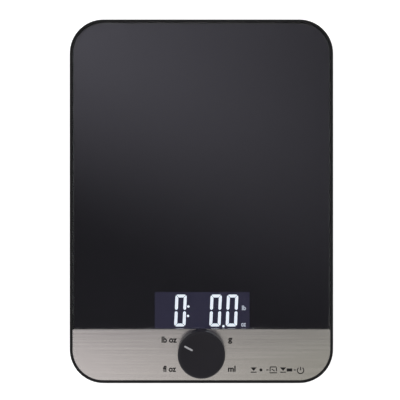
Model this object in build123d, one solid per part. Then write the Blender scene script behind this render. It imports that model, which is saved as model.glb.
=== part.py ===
"""Flat digital kitchen scale with a glass platform, a steel control strip and a push-and-turn knob.

Row frame, in millimetres: the origin is at the centre of the footprint on the table, +Z is up,
+X is to the user's right and +Y points away from the user. The knob and display are at the -Y end.
The body is a shallow tray (upper housing) on a dished base (lower housing). The tray carries the
glass platform and the steel fascia; the base carries the battery bay and four load-sensing feet.
"""

import os
from math import atan2, cos, pi, radians, sin, tan

from build123d import *

# Outer form
BODY_WIDTH = 166.6
BODY_LENGTH = 230.0
CORNER_R = 21.3
RIM = 1.6  # width of the tray's edge as seen from above
SEAT_GAP = 0.15  # clearance of the glass and the fascia inside the rim
WALL = 2.2
UNDER_R = 6.0  # round between the underside and the sides

# Heights above the table
UNDERSIDE_Z = 3.0
FLOOR_Z = 5.0
PARTING_Z = 10.5
DECK_TOP_Z = 16.3
FASCIA_DECK_Z = 19.5
TOP_Z = 20.5
DECK = 1.8
DECK_UNDER_Z = DECK_TOP_Z - DECK
FASCIA_UNDER_Z = FASCIA_DECK_Z - DECK
RIM_Z = TOP_Z - 0.15
REACH = 150.0  # beyond the body on every side, for cutting shapes

# Glass platform and steel fascia
GLASS_THICKNESS = 4.0
GLASS_Z = TOP_Z - GLASS_THICKNESS
GLASS_BEVEL = 0.5
GLASS_FRONT_BEVEL = 0.12  # where the glass meets the fascia
PRINT_TOP_Z = GLASS_Z - 0.01
PRINT_UNDER_Z = PRINT_TOP_Z - 0.06
FASCIA_THICKNESS = 0.8
FASCIA_REAR_Y = -80.9
SPLIT_GAP = 0.35  # between the fascia and the glass
GLASS_FRONT_Y = FASCIA_REAR_Y + SPLIT_GAP
INSET = RIM + SEAT_GAP
PLATE_CORNER_R = 1.0  # where the fascia's rear edge meets its sides

# Display
WINDOW_LEFT_X = -29.55
WINDOW_RIGHT_X = 30.55
WINDOW_REAR_Y = -57.6
LCD_HALF_X = 32.5
LCD_REAR_Y = -55.5
LCD_FRONT_Y = -87.0
LCD_LOWER_FRONT_Y = -84.3  # the lower display glass stops short, to bare the contacts
LCD_SHEET = 1.1
POLARIZER = 0.2
DIFFUSER = 0.1
LCD_TOP_Z = 15.8
LCD_MIDDLE_Z = LCD_TOP_Z - LCD_SHEET
LCD_UNDER_Z = LCD_MIDDLE_Z - LCD_SHEET
GUIDE_TOP_Z = LCD_UNDER_Z - POLARIZER - DIFFUSER
GUIDE_UNDER_Z = GUIDE_TOP_Z - 3.0

# Knob and selector switch
KNOB_Y = -95.35
KNOB_R = 14.8
KNOB_TOP_R = 14.75
KNOB_FACE_R = 12.6
KNOB_LIFT = 0.6  # gap between the fascia and the skirt
KNOB_HEIGHT = 12.4
KNOB_TOP_Z = TOP_Z + KNOB_LIFT + KNOB_HEIGHT
KNOB_CAP = 1.8
DISH = 0.35
INDICATOR_ANGLE = 152.0
UNIT_ANGLES = (INDICATOR_ANGLE, 208.0, 28.0, -28.0)  # the four settings
SHAFT_R = 3.0
SHAFT_FLAT = 1.6  # distance of the flat from the axis
SHAFT_CLEARANCE = 0.05
DRIVE_R = 2.2
DRIVE_FLAT = 1.5  # distance of the rotor's two flats from the axis
SHAFT_FOOT_Z = 11.05
BUSHING_R = 3.5
SELECTOR_SIDE = 12.4
SELECTOR_FLOOR_Z = 9.0
SELECTOR_TOP_Z = 15.0
ROTOR_Z = 11.8

# Circuit board
PCB_Z = 6.6
PCB_THICKNESS = 1.6
PCB_TOP_Z = PCB_Z + PCB_THICKNESS
PCB_HALF_X = 41.5
PCB_FRONT_Y = -108.5
PCB_REAR_Y = -44.0
PCB_SCREWS = [(x, y) for x in (-38.6, 38.6) for y in (-103.0, -47.0)]

# Housing screws
HOUSING_SCREWS = [(s * x, y) for x, y in ((48, -105), (71, -30), (71, 30), (38, 104)) for s in (-1, 1)]
SCREW_SEAT_Z = 6.0
BOSS_JOIN_Z = 8.0
BOSS_R = 3.4
SCREW_PILOT_R = 1.3
SCREW_CLEARANCE_R = 1.6
SCREW_HEAD_HOLE_R = 2.9

# Feet and load cells
FEET = {
    "front_left": (-61.0, -90.0),
    "front_right": (61.0, -90.0),
    "rear_left": (-61.0, 90.0),
    "rear_right": (61.0, 90.0),
}
FOOT_HOLE_R = 12.8
FOOT_R = 12.4
FLANGE_R = 14.0
PAD_R = 11.4
FLANGE_Z = 5.05
CELL_Z = 6.6
CELL_THICKNESS = 1.6
CELL_TOP_Z = CELL_Z + CELL_THICKNESS
CELL_WIDTH = 20.0
CELL_DEPTH = 17.0
CELL_BOSS_R = 3.2
CELL_PILOT_R = 1.25
WIRE_D = 1.8
WIRE_RUN_X = 43.0  # where the rear wires run along the floor
LEAD_D = 1.3

# Battery bay, door and contacts
BATTERY_R = 5.25
BATTERY_LENGTH = 44.5
BATTERY_Y = 5.75
BATTERY_Z = 10.25
NUB_R = 1.9
NUB_LENGTH = 0.9
BAY_HALF_X = 26.0
BAY_HALF_Y = 12.2
BAY_WALL = 1.6
BAY_CEILING_Z = 15.6
BAY_TOP_Z = 16.2
DOOR_THICKNESS = 1.6
DOOR_HALF_X = 29.4
DOOR_HALF_Y = 15.0
DOOR_GAP = 0.2
HINGE_R = 1.0
HINGE_PIN_R = 0.6
HINGE_Y = DOOR_HALF_Y - HINGE_R
HINGE_Z = UNDERSIDE_Z + HINGE_R
CONTACT = 0.3
TAB_Z = 7.4  # solder tabs of the contacts
TAB_TOP_Z = TAB_Z + CONTACT


def block(x0, x1, y0, y1, z0, z1):
    """A block between two corners."""
    return Pos((x0 + x1) / 2, (y0 + y1) / 2, (z0 + z1) / 2) * Box(x1 - x0, y1 - y0, z1 - z0)


def disc(x, y, r, z0, z1):
    """An upright cylinder."""
    return Pos(x, y, (z0 + z1) / 2) * Cylinder(r, z1 - z0)


def ring(x, y, r_out, r_in, z0, z1):
    """An upright tube."""
    return disc(x, y, r_out, z0, z1) - disc(x, y, r_in, z0, z1)


def slab(inset, z0, z1):
    """The body's rounded outline, moved inwards by inset and extruded."""
    outline = RectangleRounded(BODY_WIDTH - 2 * inset, BODY_LENGTH - 2 * inset, CORNER_R - inset)
    return Pos(0, 0, z0) * extrude(outline, z1 - z0)


def dished(inset, z0, z1, under_r):
    """A slab whose lower edge is rounded."""
    solid = slab(inset, z0, z1)
    return fillet(solid.edges().group_by(Axis.Z)[0], under_r)


def revolved(points, x=0.0, y=0.0):
    """A solid turned about an upright axis from (radius, height) points."""
    profile = Plane.XZ * make_face(Polyline(*[(r, z) for r, z in points], close=True))
    return Pos(x, y, 0) * revolve(profile, Axis.Z)


def routed_tube(name, points, diameter):
    """A wire along straight runs joined by tangent arcs as large as the runs allow."""
    stops = [Vector(*p) for p in points]
    runs = [b - a for a, b in zip(stops, stops[1:])]
    radii = []
    for before, after in zip(runs, runs[1:]):
        half_turn = radians(before.get_angle(after)) / 2
        radii.append(0.45 * min(before.length, after.length) / tan(half_turn))
    path = FilletPolyline(*stops, radius=radii)
    section = Plane(origin=path @ 0, z_dir=path % 0) * Circle(diameter / 2)
    tube = sweep(section, path)
    expected = pi * (diameter / 2) ** 2 * path.length
    print(name, "radii", [round(r, 1) for r in radii], "volume share", round(tube.volume / expected, 3))
    return tube


def behind(y):
    """All the space on the far side of y, to keep or cut away."""
    return block(-REACH, REACH, y, REACH, -REACH, REACH)


def before(y):
    """All the space on the user's side of y."""
    return block(-REACH, REACH, -REACH, y, -REACH, REACH)


def through_hole(x, y, r):
    """A cutter for an upright hole through everything."""
    return disc(x, y, r, -REACH, REACH)


def several(solids):
    """Separate solids that share one node."""
    return Compound(children=[s for solid in solids for s in solid.solids()])


# ---- Platform, fascia and the layers under them ----


def glass_platform():
    """Tempered glass with bevelled edges, cut nearly square where it meets the fascia."""
    plate = slab(INSET, GLASS_Z, TOP_Z)
    plate = chamfer(plate.edges().group_by(Axis.Z)[-1], GLASS_BEVEL)
    plate = chamfer(plate.edges().group_by(Axis.Z)[0], GLASS_BEVEL / 2)
    glass = plate & behind(GLASS_FRONT_Y)
    front_edge = glass.edges().group_by(Axis.Z)[-1].group_by(Axis.Y)[0]
    return chamfer(front_edge, GLASS_FRONT_BEVEL)


def glass_backprint():
    """The black ink layer under the glass, left open over the display."""
    margin = 0.6
    film = slab(INSET + margin, PRINT_UNDER_Z, PRINT_TOP_Z) & behind(GLASS_FRONT_Y + 0.1)
    return film - block(WINDOW_LEFT_X, WINDOW_RIGHT_X, -REACH, WINDOW_REAR_Y, 0, REACH)


def glass_tape():
    """Double-sided tape that bonds the glass to the tray: a frame and two cross strips."""
    low, high = DECK_TOP_Z, PRINT_UNDER_Z
    margin, frame_width, strip_width, strip_half = 2.0, 9.0, 8.0, 68.0
    band = slab(INSET + margin, low, high) - slab(INSET + margin + frame_width, low, high)
    band &= behind(GLASS_FRONT_Y + margin)
    strips = [block(-strip_half, strip_half, y, y + strip_width, low, high) for y in (24, -48)]
    return band + several(strips)


def fascia_outline(inset, z0, z1):
    plate = slab(inset, z0, z1) & before(FASCIA_REAR_Y - inset + INSET)
    return fillet(plate.edges().filter_by(Axis.Z).group_by(Axis.Y)[-1], PLATE_CORNER_R)


def steel_fascia():
    """Brushed stainless control strip with the hole for the selector's bushing."""
    plate = fascia_outline(INSET, TOP_Z - FASCIA_THICKNESS, TOP_Z)
    plate = chamfer(plate.edges().group_by(Axis.Z)[-1], 0.2)
    return plate - through_hole(0, KNOB_Y, BUSHING_R + 0.15)


def fascia_tape():
    tape = fascia_outline(INSET + 1.5, FASCIA_DECK_Z, TOP_Z - FASCIA_THICKNESS)
    return tape - through_hole(0, KNOB_Y, BUSHING_R + 3)


# ---- Housing ----


def boss_top(y):
    """Where a pillar at y ends, inside the deck above it."""
    return (FASCIA_UNDER_Z if y < FASCIA_REAR_Y else DECK_UNDER_Z) + 0.5


def screw_bosses():
    """Pillars that hang from the tray to meet the base, one over each housing screw."""
    return [disc(x, y, BOSS_R, BOSS_JOIN_Z, boss_top(y)) for x, y in HOUSING_SCREWS]


def cell_bosses():
    """Pillars that bear on the load cells' tongues."""
    return [disc(x, y, CELL_BOSS_R, CELL_TOP_Z, boss_top(y)) for x, y in FEET.values()]


def deck_ribs():
    """A grid of stiffening ribs under the glass deck."""
    low, high, half = DECK_UNDER_Z - 2.0, DECK_UNDER_Z + 0.5, 0.6
    along = [block(x - half, x + half, -49, 110, low, high) for x in (-60, -40, -20, 20, 40, 60)]
    across = [block(-79, 79, y - half, y + half, low, high) for y in (-34, 40, 66)]
    return along + across


def tray_shell():
    """The rim, the glass deck and the raised, hollow fascia deck as one wall."""
    tray = slab(0, PARTING_Z, RIM_Z)
    tray = fillet(tray.edges().group_by(Axis.Z)[-1], 0.35)
    tray -= slab(RIM, DECK_TOP_Z, TOP_Z + 1)
    tray -= slab(WALL, PARTING_Z - 1, DECK_UNDER_Z)
    tray -= slab(WALL / 2, PARTING_Z - 1, PARTING_Z + 1.7)  # rebate for the base's lip
    step_y = FASCIA_REAR_Y + SPLIT_GAP / 2
    raised = slab(RIM - 0.3, DECK_TOP_Z - 0.5, FASCIA_DECK_Z) & before(step_y)
    hollow = slab(WALL, DECK_UNDER_Z - 1, FASCIA_UNDER_Z) & before(step_y - DECK)
    return tray + raised - hollow


def upper_housing():
    """The tray with its bosses, ribs and openings."""
    tray = tray_shell()
    for solid in [*screw_bosses(), *cell_bosses(), *deck_ribs()]:
        tray += solid
    rib_under_z = DECK_UNDER_Z - 3
    display_x = LCD_HALF_X + 1
    tray -= block(-display_x, display_x, LCD_FRONT_Y - 1, LCD_REAR_Y + 1, rib_under_z, DECK_TOP_Z + 0.01)
    tray -= through_hole(0, KNOB_Y, BUSHING_R + 0.2)
    bay_x, bay_y = BAY_HALF_X + BAY_WALL + 0.8, BAY_HALF_Y + BAY_WALL + 0.8
    tray -= block(-bay_x, bay_x, -bay_y, bay_y, rib_under_z, DECK_TOP_Z + 1)
    for x, y in HOUSING_SCREWS:
        tray -= disc(x, y, SCREW_PILOT_R, BOSS_JOIN_Z - 1, 13.5)
    for x, y in FEET.values():
        tray -= disc(x, y, CELL_PILOT_R, CELL_TOP_Z - 1, 12.8)
    return tray


def battery_bay_solid():
    """The bay's thick frame in the floor and its walls, before the hollow is cut."""
    frame = block(-32, 32, -18, 18, UNDERSIDE_Z, 6.8)
    x, y = BAY_HALF_X + BAY_WALL, BAY_HALF_Y + BAY_WALL
    return frame + block(-x, x, -y, y, UNDERSIDE_Z, BAY_TOP_Z)


def battery_bay_hollow():
    """What is cut away for the batteries, the door, its hinge, the thumb scoop and the solder tabs."""
    x, y = DOOR_HALF_X + DOOR_GAP, DOOR_HALF_Y + DOOR_GAP
    ledge_z = UNDERSIDE_Z + DOOR_THICKNESS + 0.15
    scoop = Pos(0, -y - 1.5, UNDERSIDE_Z - 8.6) * Sphere(10.0)
    tab_x = BAY_HALF_X + BAY_WALL + 1
    slots = [
        block(BAY_HALF_X - 1, tab_x, y - 1.2, y + 1.2, TAB_Z - 0.1, TAB_TOP_Z + 0.1)
        for y in (-BATTERY_Y, BATTERY_Y)
    ]
    pins = Pos(0, HINGE_Y, HINGE_Z) * Rot(0, 90, 0) * Cylinder(HINGE_PIN_R + 0.08, 2 * (DOOR_HALF_X + 1.6))
    return [
        block(-x, x, -y, y, 0, ledge_z),
        block(-x, x, HINGE_Y - HINGE_R - 0.4, y, 0, HINGE_Z + HINGE_R + 0.25),
        block(-BAY_HALF_X, BAY_HALF_X, -BAY_HALF_Y, BAY_HALF_Y, 0, BAY_CEILING_Z),
        scoop & block(-12, 12, -24, -y + 1, 0, UNDERSIDE_Z + 1.4),
        pins,
        *slots,
    ]


def wire_clips():
    """Pairs of posts that hold the rear load cells' wires to the floor."""
    posts = []
    thickness, spread, half_length, top_z = 1.0, 1.1, 2.0, 8.0
    for run_x in (-WIRE_RUN_X, WIRE_RUN_X):
        for x in (run_x - spread - thickness, run_x + spread):
            for y in (38, 2):
                post = block(x, x + thickness, y - half_length, y + half_length, FLOOR_Z - 0.5, top_z)
                posts.append(post)
    return posts


def base_shell():
    """The dished wall, its lip inside the tray and the shadow line at the parting."""
    shell = dished(0, UNDERSIDE_Z, PARTING_Z, UNDER_R)
    shell -= dished(WALL, FLOOR_Z, PARTING_Z + 1, UNDER_R - 2.0)
    shell += slab(WALL / 2 + 0.1, PARTING_Z - 1, PARTING_Z + 1.5) - slab(WALL, PARTING_Z - 2, PARTING_Z + 2)
    shadow = slab(-1, PARTING_Z - 0.5, PARTING_Z + 0.1) - slab(0.5, PARTING_Z - 1, PARTING_Z + 1)
    return shell - shadow


def lower_housing():
    """The base: dished shell, battery bay, foot wells, screw bosses and board standoffs."""
    base = base_shell() + battery_bay_solid()
    for solid in battery_bay_hollow():
        base -= solid
    base += block(-20, 20, -0.3, 0.3, 11.5, BAY_CEILING_Z + 0.3)  # rib between the batteries
    root_z = FLOOR_Z - 0.5
    for x, y in FEET.values():
        base += ring(x, y, FLANGE_R + 1.6, FLANGE_R + 0.4, root_z, 7.0)
        base -= disc(x, y, FOOT_HOLE_R, 0, FLOOR_Z + 1)
    for x, y in HOUSING_SCREWS:
        base += disc(x, y, BOSS_R + 0.8, root_z, BOSS_JOIN_Z)
        base -= disc(x, y, SCREW_HEAD_HOLE_R, 0, SCREW_SEAT_Z)
        base -= disc(x, y, SCREW_CLEARANCE_R, 0, BOSS_JOIN_Z + 1)
    for x, y in PCB_SCREWS:
        base += disc(x, y, 2.8, root_z, PCB_Z)
        base -= disc(x, y, 0.95, FLOOR_Z - 0.8, PCB_Z + 1)
    for post in wire_clips():
        base += post
    return base


def cross_recess(x, y, z, size, depth, up):
    """A Phillips-like recess, open towards +Z if up."""
    z0, z1 = (z - depth, z + 1) if up else (z - 1, z + depth)
    arm = size * 0.17
    across = block(x - size, x + size, y - arm, y + arm, z0, z1)
    along = block(x - arm, x + arm, y - size, y + size, z0, z1)
    return across + along


def housing_screws():
    """Self-tapping screws put in from below."""
    screws = []
    for x, y in HOUSING_SCREWS:
        head_z = SCREW_SEAT_Z - 1.8
        head = fillet(disc(x, y, 2.6, head_z, SCREW_SEAT_Z).edges().group_by(Axis.Z)[0], 0.7)
        screw = head + disc(x, y, 1.22, SCREW_SEAT_Z - 0.1, 13.0)
        screws.append(screw - cross_recess(x, y, head_z, 1.5, 1.1, up=False))
    return several(screws)


def battery_door():
    """Hinged door with a thumb latch tongue between two slots, grip grooves and an engraved arrow."""
    top_z = UNDERSIDE_Z + DOOR_THICKNESS
    plate = block(-DOOR_HALF_X, DOOR_HALF_X, -DOOR_HALF_Y, HINGE_Y, UNDERSIDE_Z, top_z)
    plate = fillet(plate.edges().filter_by(Axis.Z).group_by(Axis.Y)[0], 2.0)
    turn = Pos(0, HINGE_Y, HINGE_Z) * Rot(0, 90, 0)
    door = plate + turn * Cylinder(HINGE_R, 2 * DOOR_HALF_X)
    door += turn * Cylinder(HINGE_PIN_R, 2 * (DOOR_HALF_X + 1.4))
    for side in (-1, 1):
        door -= block(side * 7 - 0.5, side * 7 + 0.5, -DOOR_HALF_Y - 1, -DOOR_HALF_Y + 8, 0, 10)
    engraved_z = UNDERSIDE_Z + 0.4
    for n in range(5):
        y = -DOOR_HALF_Y + 1.8 + 1.3 * n
        door -= block(-5, 5, y - 0.3, y + 0.3, 0, engraved_z)
    arrow = make_face(Polyline((-4, 1.5), (4, 1.5), (0, -3.5), close=True))
    door -= extrude(arrow, engraved_z)
    for x in (-18, 18):
        door += block(x - 0.6, x + 0.6, -9, 9, top_z - 0.3, top_z + 0.25)  # ribs that steady the batteries
    return door


# ---- Feet and load cells ----


def foot_cup(x, y):
    """Plastic foot in its well; it carries the load cell's outer frame."""
    cup = disc(x, y, FOOT_R, 1.2, FLANGE_Z + 0.1) + disc(x, y, FLANGE_R, FLANGE_Z, CELL_Z)
    cup += ring(x, y, FLANGE_R, FLANGE_R - 1.1, CELL_Z - 0.1, CELL_Z + 1.0)
    cup -= disc(x, y, 8.5, 4.5, CELL_Z + 1)
    return cup - disc(x, y, PAD_R + 0.1, 0, 1.9)


def foot_pad(x, y):
    """Rubber pad with a rounded edge and one shallow ring groove."""
    pad = fillet(disc(x, y, PAD_R, 0, 1.9).edges().group_by(Axis.Z)[0], 0.6)
    return pad - ring(x, y, 8.2, 7.2, -1, 0.4)


def load_cell(x, y):
    """Stamped steel strain-gauge plate: an outer frame and a tongue cut free by a U slot."""
    plate = extrude(RectangleRounded(CELL_WIDTH, CELL_DEPTH, 3.0), CELL_THICKNESS)
    plate = Pos(x, y, CELL_Z) * plate
    for side in (-1, 1):
        x_slot = x + side * 3.9
        plate -= block(x_slot - 0.7, x_slot + 0.7, y - 6.0, y + 5.5, 0, 20)
    plate -= block(x - 4.6, x + 4.6, y - 6.0, y - 4.6, 0, 20)
    return plate - through_hole(x, y, 1.35)


def strain_gauges():
    """A foil gauge under a drop of white silicone, one on each load cell."""
    gauges = []
    for x, y in FEET.values():
        drop = block(x - 2.2, x + 2.2, y + 4.2, y + 7.6, CELL_TOP_Z, CELL_TOP_Z + 0.8)
        gauges.append(fillet(drop.edges().group_by(Axis.Z)[-1], 0.5))
    return several(gauges)


def load_cell_screws():
    screws = []
    for x, y in FEET.values():
        head = disc(x, y, 2.2, CELL_Z - 1.3, CELL_Z)
        screw = head + disc(x, y, 1.2, CELL_Z - 0.1, 12.4)
        screws.append(screw - cross_recess(x, y, CELL_Z - 1.3, 1.3, 0.8, up=False))
    return several(screws)


def cell_wire(name, x, y):
    """The lead of one load cell, from the top of the cell to its pad on the board."""
    side = 1 if x > 0 else -1
    on_cell, on_floor, on_board = CELL_TOP_Z + 0.95, FLOOR_Z + 0.95, PCB_TOP_Z + 0.95
    target = (side * 38.9, -75.0) if y < 0 else (side * 36.0, 62.0)
    turn = atan2(target[1] - y, target[0] - x)

    def out(distance, z):
        return (x + distance * cos(turn), y + distance * sin(turn), z)

    if y < 0:
        route = [
            out(7.5, on_cell),
            out(16, on_cell + 0.1),
            (side * 43.0, -76.0, on_board),
            (side * 38.5, -74.0, on_board),
        ]
    else:
        route = [
            out(7.5, on_cell),
            out(16, on_cell + 0.1),
            out(24, on_floor),
            (side * WIRE_RUN_X, 55.0, on_floor),
            (side * WIRE_RUN_X, -20.0, on_floor),
            (side * 31.0, -36.0, on_floor),
            (side * 29.0, -41.5, on_board),
            (side * 28.5, -47.5, on_board),
        ]
    return routed_tube(name, route, WIRE_D)


# ---- Batteries and contacts ----


def battery(side):
    """An AAA cell with its positive nub towards the end that side names."""
    nub_x = side * (BAY_HALF_X - CONTACT - 0.5)
    body_x = nub_x - side * NUB_LENGTH
    end_x = nub_x - side * BATTERY_LENGTH
    low, high = sorted((body_x, end_x))
    turn = Rot(0, 90, 0)
    y = -side * BATTERY_Y
    body = Pos((low + high) / 2, y, BATTERY_Z) * turn * Cylinder(BATTERY_R, high - low)
    body = fillet(body.edges(), 0.4)
    root_x = body_x - side * 0.2
    return body + Pos((nub_x + root_x) / 2, y, BATTERY_Z) * turn * Cylinder(NUB_R, NUB_LENGTH + 0.2)


def contact_plate(side, y0, y1):
    """A plated spring-steel plate standing against an end wall of the bay."""
    x0, x1 = sorted((side * (BAY_HALF_X - CONTACT), side * BAY_HALF_X))
    return block(x0, x1, y0, y1, 6.2, 14.6)


def bump(side, y):
    """The pressed bump that meets a battery's nub."""
    x = side * (BAY_HALF_X - CONTACT - 0.25)
    return Pos(x, y, BATTERY_Z) * Rot(0, 90, 0) * Cylinder(1.6, 0.5)


def solder_tab(y):
    return block(BAY_HALF_X - CONTACT, 30.0, y - 1.0, y + 1.0, TAB_Z, TAB_TOP_Z)


def contact_spring(side):
    """A conical spring between an end plate and a battery's flat end."""
    y = side * BATTERY_Y
    wire_r = 0.35
    wall_x = BAY_HALF_X - CONTACT - wire_r - 0.03
    battery_x = BATTERY_LENGTH - (BAY_HALF_X - CONTACT - 0.5) + wire_r + 0.03
    length, turns = wall_x - battery_x, 4
    path = Helix(pitch=length / turns, height=length, radius=4.0, cone_angle=-15)
    section = Plane(origin=path @ 0, z_dir=path % 0) * Circle(wire_r)
    spring = sweep(section, path, is_frenet=True)
    return Pos(side * wall_x, y, BATTERY_Z) * Rot(0, -side * 90, 0) * spring


# ---- Electronics ----


def main_pcb():
    board = block(-PCB_HALF_X, PCB_HALF_X, PCB_FRONT_Y, PCB_REAR_Y, PCB_Z, PCB_TOP_Z)
    board = fillet(board.edges().filter_by(Axis.Z), 2.0)
    for x, y in PCB_SCREWS:
        board -= through_hole(x, y, 1.4)
    for x, y in selector_pin_places():
        board -= through_hole(x, y, 0.5)
    return board


def pcb_screws():
    screws = []
    for x, y in PCB_SCREWS:
        head = fillet(disc(x, y, 2.0, PCB_TOP_Z, PCB_TOP_Z + 1.3).edges().group_by(Axis.Z)[-1], 0.5)
        screw = head + disc(x, y, 0.88, FLOOR_Z + 0.3, PCB_TOP_Z + 0.1)
        screws.append(screw - cross_recess(x, y, PCB_TOP_Z + 1.3, 1.1, 0.8, up=True))
    return several(screws)


def pcb_components():
    """Chip under epoxy, converter chip, crystal, capacitors and a row of small chip parts."""
    z = PCB_TOP_Z
    parts = []
    blob = [(0, z), (7.0, z), (6.6, z + 0.9), (5.0, z + 1.6), (2.5, z + 1.95), (0, z + 2.0)]
    parts.append(revolved(blob, -22, -98.5))
    parts.append(block(15, 25, -103, -99, z, z + 1.6))
    for n in range(8):
        x = 15.4 + 1.27 * n
        parts += [block(x, x + 0.5, y, y + 1.1, z, z + 0.25) for y in (-104.1, -99.0)]
    crystal = block(-34, -31, -98, -90.5, z, z + 2.4)
    parts.append(fillet(crystal.edges().filter_by(Axis.Z), 1.2))
    parts += [disc(x, -95.0, 2.5, z, z + 5.4) for x in (14.0, 20.5)]
    parts += [block(x, x + 1.6, -107.0, -106.2, z, z + 0.6) for x in range(-30, 31, 5)]
    parts += [block(x, x + 1.6, -51.0, -50.2, z, z + 0.6) for x in range(-20, 16, 5)]
    solder = [(18.5, -48.6), (23.0, -48.6), (28.5, -48.6), (-28.5, -48.6), (37.5, -73.5), (-37.5, -73.5)]
    parts += [disc(x, y, 1.0, z, z + 1.3) for x, y in solder]
    return several(parts)


def lcd_glass():
    """The two glasses of the display cell; the upper one overhangs for the contact strip."""
    x = LCD_HALF_X
    upper = block(-x, x, LCD_FRONT_Y, LCD_REAR_Y, LCD_MIDDLE_Z, LCD_TOP_Z)
    lower = block(-x, x, LCD_LOWER_FRONT_Y, LCD_REAR_Y, LCD_UNDER_Z, LCD_MIDDLE_Z)
    return several([upper, lower])


def lcd_polarizers():
    x, y0, y1 = LCD_HALF_X - 1, LCD_LOWER_FRONT_Y + 0.6, LCD_REAR_Y - 0.6
    upper = block(-x, x, y0, y1, LCD_TOP_Z, LCD_TOP_Z + POLARIZER)
    lower = block(-x, x, y0, y1, LCD_UNDER_Z - POLARIZER, LCD_UNDER_Z)
    return several([upper, lower])


def lit_area(z0, z1):
    """A sheet that covers what the backlight lights up."""
    x = LCD_HALF_X - 0.5
    return block(-x, x, LCD_LOWER_FRONT_Y + 0.3, LCD_REAR_Y - 0.5, z0, z1)


def diffuser_film():
    return lit_area(GUIDE_TOP_Z, GUIDE_TOP_Z + DIFFUSER)


def light_guide():
    """Clear plate with a grooved underside that spreads the light of the LEDs at its right-hand edge."""
    guide = lit_area(GUIDE_UNDER_Z, GUIDE_TOP_Z)
    for n in range(12):
        x = -29 + 5 * n
        guide -= block(x - 0.4, x + 0.4, -REACH, REACH, GUIDE_UNDER_Z - 0.1, GUIDE_UNDER_Z + 0.3)
    return guide


def backlight_leds():
    x = LCD_HALF_X - 0.3
    return several([block(x, x + 2, y - 1.5, y + 1.5, GUIDE_UNDER_Z, 13.0) for y in (-78, -70, -62)])


def lcd_frame():
    """White holder that stands on the board and locates the display, guide and contact strip."""
    frame = block(-36.2, 36.2, -88.7, -52.9, PCB_TOP_Z, DECK_UNDER_Z - 0.1)
    frame -= block(-LCD_HALF_X - 0.3, 34.7, LCD_FRONT_Y - 0.3, LCD_REAR_Y + 0.3, GUIDE_UNDER_Z, REACH)
    frame -= block(-33, 33, -83.4, -56.5, 0, PCB_TOP_Z + 1.2)
    return frame - block(-30.5, 30.5, LCD_FRONT_Y, LCD_LOWER_FRONT_Y - 0.3, 0, REACH)


def zebra_strip():
    """Elastomer contact strip between the board and the overhanging display glass."""
    return block(-30, 30, LCD_FRONT_Y + 0.2, LCD_LOWER_FRONT_Y - 0.5, PCB_TOP_Z, LCD_MIDDLE_Z)


def display_gasket():
    """Black foam on three sides of the window, between the display and the glass."""
    low, high, width = LCD_TOP_Z + POLARIZER, PRINT_UNDER_Z, 0.95
    left, right, rear = WINDOW_LEFT_X - 0.2, WINDOW_RIGHT_X + 0.2, WINDOW_REAR_Y + 0.2
    outer = block(left - width, right + width, GLASS_FRONT_Y + 0.7, rear + width, low, high)
    return outer - block(left, right, -REACH, rear, 0, REACH)


# ---- Selector switch ----


def selector_pin_places():
    return [(x, KNOB_Y + y) for x in (-5.0, -2.5, 0.0, 2.5, 5.0) for y in (-5.3, 5.3)]


def selector_body(z0, z1):
    half = SELECTOR_SIDE / 2
    return block(-half, half, KNOB_Y - half, KNOB_Y + half, z0, z1)


def selector_case():
    """Square case with a round chamber for the rotor and a hole for the shaft."""
    case = selector_body(SELECTOR_FLOOR_Z, SELECTOR_TOP_Z)
    case = fillet(case.edges().filter_by(Axis.Z), 0.8)
    case -= disc(0, KNOB_Y, 5.5, 0, SELECTOR_TOP_Z - 0.8)
    return case - through_hole(0, KNOB_Y, SHAFT_R + 0.15)


def selector_base():
    """Moulded base with a seat for the snap dome, inside the ring that the rotor turns on."""
    floor = selector_body(PCB_TOP_Z, SELECTOR_FLOOR_Z)
    return floor + ring(0, KNOB_Y, 5.3, 4.2, SELECTOR_FLOOR_Z - 0.1, ROTOR_Z - 0.02)


def selector_pins():
    return several([disc(x, y, 0.4, 5.5, PCB_TOP_Z) for x, y in selector_pin_places()])


def snap_dome():
    """Thin metal dome that clicks under the plunger."""
    z = SELECTOR_FLOOR_Z
    outer = [(2.9, z), (2.4, z + 0.3), (1.5, z + 0.52), (0, z + 0.62)]
    inner = [(0, z + 0.5), (1.4, z + 0.4), (2.3, z + 0.18), (2.6, z)]
    return revolved(outer + inner, 0, KNOB_Y)


def switch_plunger():
    """Button between the snap dome and the foot of the shaft."""
    body = disc(0, KNOB_Y, 1.9, SELECTOR_FLOOR_Z + 0.65, SHAFT_FOOT_Z)
    return fillet(body.edges().group_by(Axis.Z)[0], 0.4)


def selector_bushing():
    """Threaded bushing; its shoulder bears on the tray and its bore guides the shaft."""
    body = disc(0, KNOB_Y, BUSHING_R, SELECTOR_TOP_Z, 22.6)
    body += disc(0, KNOB_Y, 4.8, SELECTOR_TOP_Z, FASCIA_UNDER_Z)
    for n in range(4):
        z = TOP_Z + 0.4 + 0.45 * n
        body -= ring(0, KNOB_Y, BUSHING_R + 1, BUSHING_R - 0.15, z, z + 0.2)
    return body - through_hole(0, KNOB_Y, SHAFT_R + SHAFT_CLEARANCE)


def selector_washer():
    return ring(0, KNOB_Y, 6.0, BUSHING_R + 0.05, TOP_Z, TOP_Z + 0.4)


def selector_nut():
    nut = Pos(0, KNOB_Y, TOP_Z + 0.4) * extrude(RegularPolygon(5.0, 6, major_radius=False), 1.7)
    return nut - through_hole(0, KNOB_Y, BUSHING_R + 0.04)


def double_d(r, flat, z0, z1):
    """A round bar with two flats, as the rotor is driven by."""
    return disc(0, KNOB_Y, r, z0, z1) & block(-r, r, KNOB_Y - flat, KNOB_Y + flat, z0, z1)


def single_d(r, flat, z0, z1):
    """A round bar with one flat, turned to face away from the knob's pointer."""
    bar = disc(0, 0, r, z0, z1) & block(-flat, r + 1, -r - 1, r + 1, z0, z1)
    return Pos(0, KNOB_Y, 0) * Rot(0, 0, INDICATOR_ANGLE) * bar


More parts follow.
